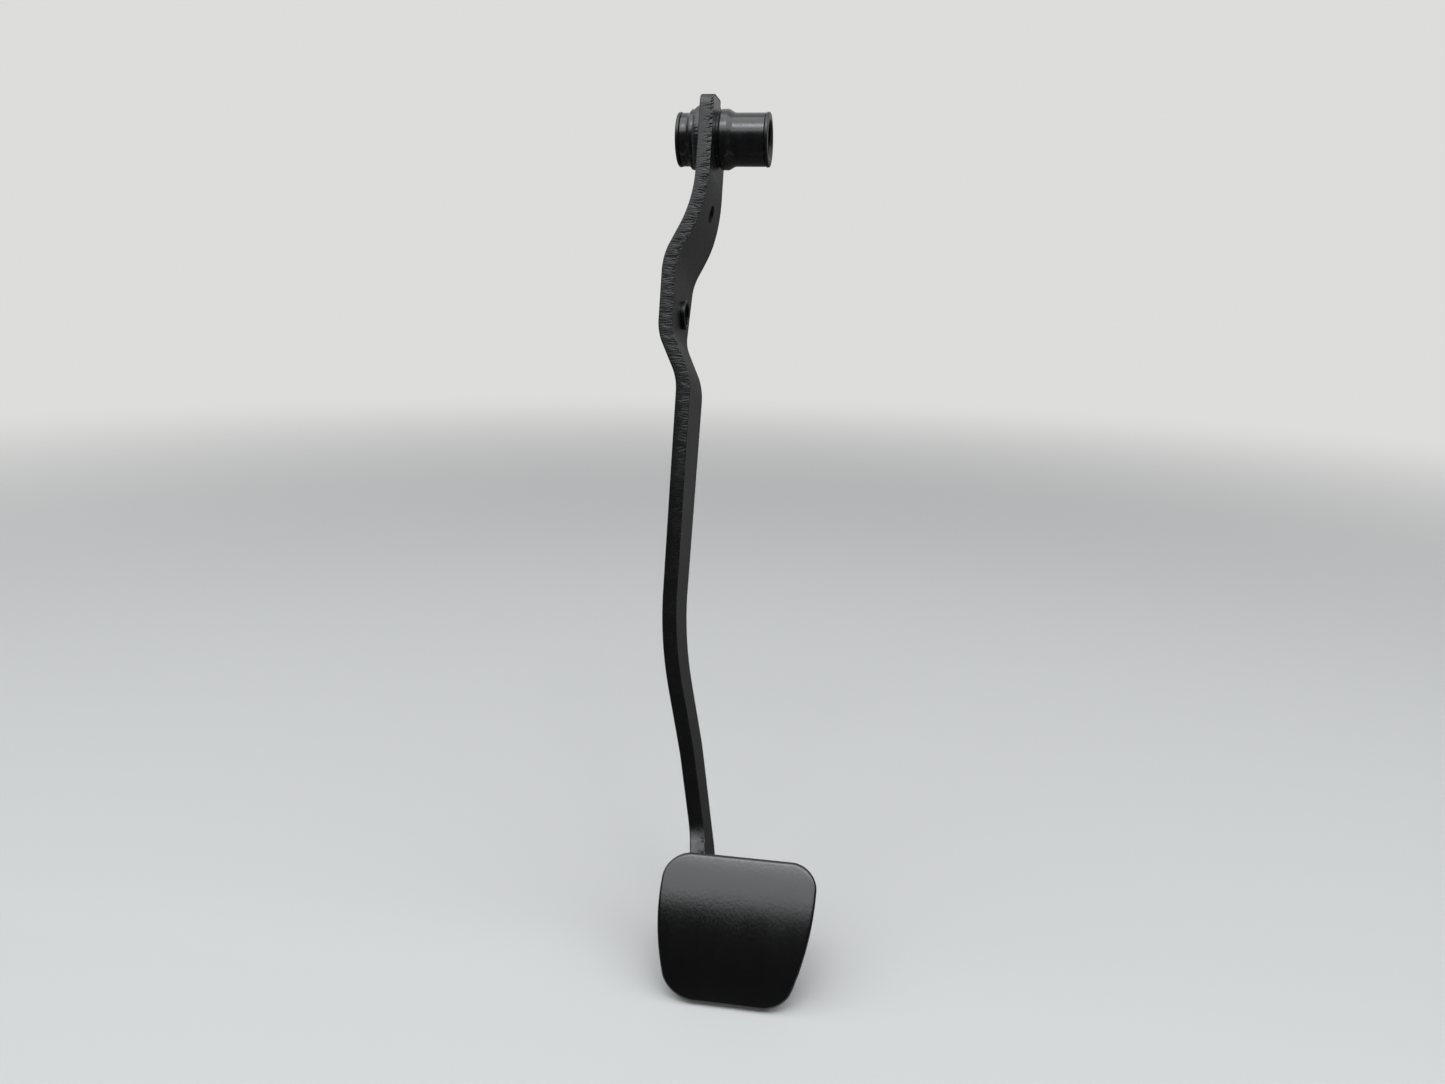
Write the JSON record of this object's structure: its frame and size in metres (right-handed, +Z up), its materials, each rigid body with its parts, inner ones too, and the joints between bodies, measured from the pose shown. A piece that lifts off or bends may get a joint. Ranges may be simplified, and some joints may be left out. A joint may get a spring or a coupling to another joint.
{
  "type": "hanging brake pedal",
  "caption": "Hanging brake pedal: a joggled flat steel lever on a bushed pivot tube, with a curved, tapering steel foot plate welded to its end.",
  "frame": {"origin": "middle of the pivot tube, on the pivot's axis", "axes": "+X along the pivot, to the right as the driver sees it; +Z up along the hanging pedal; the driver's foot is on the -Y side"},
  "size_m": [0.0879, 0.166, 0.3781],
  "materials": {
    "lever_paint": "satin black coat on a sheared steel plate",
    "tube_paint": "satin black coat on turned steel",
    "weld_paint": "satin black coat over a weld bead",
    "foot_plate_paint": "satin black coat on pressed steel",
    "pivot_bush_plastic": "moulded, low sheen",
    "pushrod_bush_plastic": "moulded, smooth"
  },
  "bodies": {
    "root": {"lever_arm": "lever_paint", "pivot_tube": "tube_paint", "hub_weld": "weld_paint", "left_pivot_bush": "pivot_bush_plastic", "right_pivot_bush": "pivot_bush_plastic", "pushrod_bush": "pushrod_bush_plastic", "foot_plate": "foot_plate_paint", "foot_plate_weld_left": "weld_paint", "foot_plate_weld_right": "weld_paint"}
  },
  "joints": []
}
